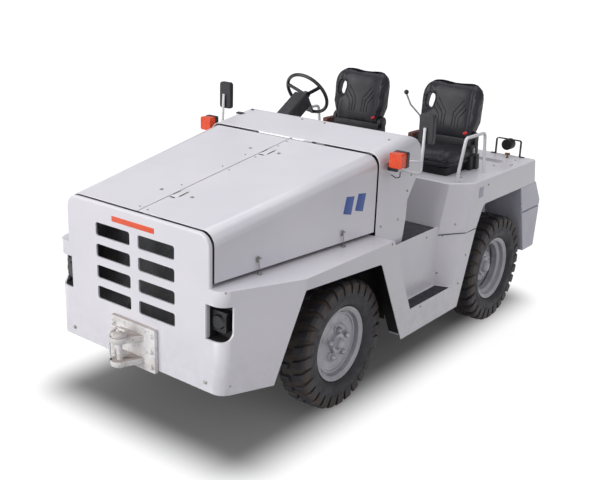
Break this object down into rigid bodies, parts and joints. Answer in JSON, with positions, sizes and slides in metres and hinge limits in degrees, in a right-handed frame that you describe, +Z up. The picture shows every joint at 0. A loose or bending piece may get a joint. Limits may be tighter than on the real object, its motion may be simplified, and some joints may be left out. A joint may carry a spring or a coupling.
{
  "type": "airport tow tractor",
  "caption": "Open-cab airport baggage tow tractor with sloped slotted nose, twin lifting hoods, side steps, two seats, steered front wheels and tow hitches at both ends",
  "frame": {"origin": "centre of the bounding box at floor level, under the tyres", "axes": "+Z up, the nose faces -Y, +X is the vehicle's left"},
  "size_m": [1.676, 3.636, 1.738],
  "materials": {
    "body_paint": "satin off-white enamel",
    "frame_paint": "satin black enamel",
    "weight_paint": "satin off-white enamel on a casting",
    "rim_paint": "satin light grey enamel",
    "hitch_paint": "satin white enamel, scuffed",
    "bare_steel": "plain steel",
    "dark_iron": "dark casting",
    "tyre_rubber": "matt, dusty",
    "mat_rubber": "charcoal rubber sheet",
    "seat_vinyl": "black vinyl",
    "dark_plastic": "black, grained",
    "wheel_plastic": "black, smooth",
    "amber_lens": "amber lens",
    "red_lens": "red lens",
    "lamp_glass": "clear lens",
    "grey_core": "radiator core"
  },
  "bodies": {
    "chassis": {"nose_panel": "body_paint", "side_body_left": "body_paint", "side_body_right": "body_paint", "floor_pan": "frame_paint", "floor_mat": "mat_rubber", "step_pads": "mat_rubber", "hood_rail": "frame_paint", "steering_column": "dark_plastic", "cowl": "body_paint", "dash_panel": "dark_plastic", "rear_cover": "body_paint", "rear_weight": "weight_paint", "chassis_frame": "frame_paint", "rear_tub": "body_paint", "engine": "dark_iron", "radiator": "grey_core", "front_axle": "frame_paint", "front_springs": "bare_steel", "rear_axle": "frame_paint", "rear_springs": "bare_steel", "seat_bases": "dark_plastic", "seat_cushion_left": "seat_vinyl", "seat_cushion_right": "seat_vinyl", "seat_back_left": "seat_vinyl", "seat_back_right": "seat_vinyl", "hand_lever": "dark_plastic", "headlamps": "lamp_glass", "signal_bases": "dark_plastic", "signal_lenses": "amber_lens", "mirror_arms": "dark_plastic", "mirror_heads": "dark_plastic", "hand_rails": "hitch_paint", "rear_lamp": "frame_paint", "front_hitch": "hitch_paint", "rear_hitch": "hitch_paint", "hitch_pins": "bare_steel", "tail_lamps": "red_lens", "lamp_housings": "dark_plastic"},
    "left_hood": {"hood_left": "body_paint"},
    "right_hood": {"hood_right": "body_paint"},
    "left_knuckle": {"knuckle_left": "dark_iron"},
    "right_knuckle": {"knuckle_right": "dark_iron"},
    "track_link": {"tie_rod": "bare_steel"},
    "hand_wheel": {"steering_wheel": "wheel_plastic"},
    "front_left_wheel": {"rim_front_left": "rim_paint", "tyre_front_left": "tyre_rubber"},
    "front_right_wheel": {"rim_front_right": "rim_paint", "tyre_front_right": "tyre_rubber"},
    "rear_left_wheel": {"rim_rear_left": "rim_paint", "tyre_rear_left": "tyre_rubber"},
    "rear_right_wheel": {"rim_rear_right": "rim_paint", "tyre_rear_right": "tyre_rubber"}
  },
  "joints": [
    {"name": "hood_left_hinge", "type": "hinge", "parent": "chassis", "child": "left_hood", "pos_m": [0.036, -1.322, 1.27278], "axis": [0, -0.9879, -0.155], "range_deg": [0, 80]},
    {"name": "hood_right_hinge", "type": "hinge", "parent": "chassis", "child": "right_hood", "pos_m": [-0.036, -1.322, 1.27278], "axis": [0, 0.9879, 0.155], "range_deg": [0, 80]},
    {"name": "steer_left", "type": "hinge", "parent": "chassis", "child": "left_knuckle", "pos_m": [0.5, -0.716, 0.388], "axis": [0, 0, 1], "range_deg": [-35, 35]},
    {"name": "steer_right", "type": "hinge", "parent": "chassis", "child": "right_knuckle", "pos_m": [-0.5, -0.716, 0.388], "axis": [0, 0, 1], "range_deg": [-35, 35]},
    {"name": "track_link_pivot", "type": "hinge", "parent": "left_knuckle", "child": "track_link", "pos_m": [0.5, -0.566, 0.331], "axis": [0, 0, 1], "range_deg": [-35, 35]},
    {"name": "hand_wheel_spin", "type": "hinge", "parent": "chassis", "child": "hand_wheel", "pos_m": [-0.38, 0.288, 1.592], "axis": [0, 0.848, 0.5299], "range_deg": [-420, 420]},
    {"name": "front_left_spin", "type": "hinge", "parent": "left_knuckle", "child": "front_left_wheel", "pos_m": [0.64, -0.716, 0.388], "axis": [1, 0, 0], "continuous": true},
    {"name": "front_right_spin", "type": "hinge", "parent": "right_knuckle", "child": "front_right_wheel", "pos_m": [-0.64, -0.716, 0.388], "axis": [1, 0, 0], "continuous": true},
    {"name": "rear_left_spin", "type": "hinge", "parent": "chassis", "child": "rear_left_wheel", "pos_m": [0.642, 1.077, 0.388], "axis": [1, 0, 0], "continuous": true},
    {"name": "rear_right_spin", "type": "hinge", "parent": "chassis", "child": "rear_right_wheel", "pos_m": [-0.642, 1.077, 0.388], "axis": [1, 0, 0], "continuous": true}
  ],
  "couplings": [
    {"joint": "steer_right", "follows": "steer_left", "ratio": 1},
    {"joint": "track_link_pivot", "follows": "steer_left", "ratio": -1},
    {"joint": "hand_wheel_spin", "follows": "steer_left", "ratio": 12}
  ]
}
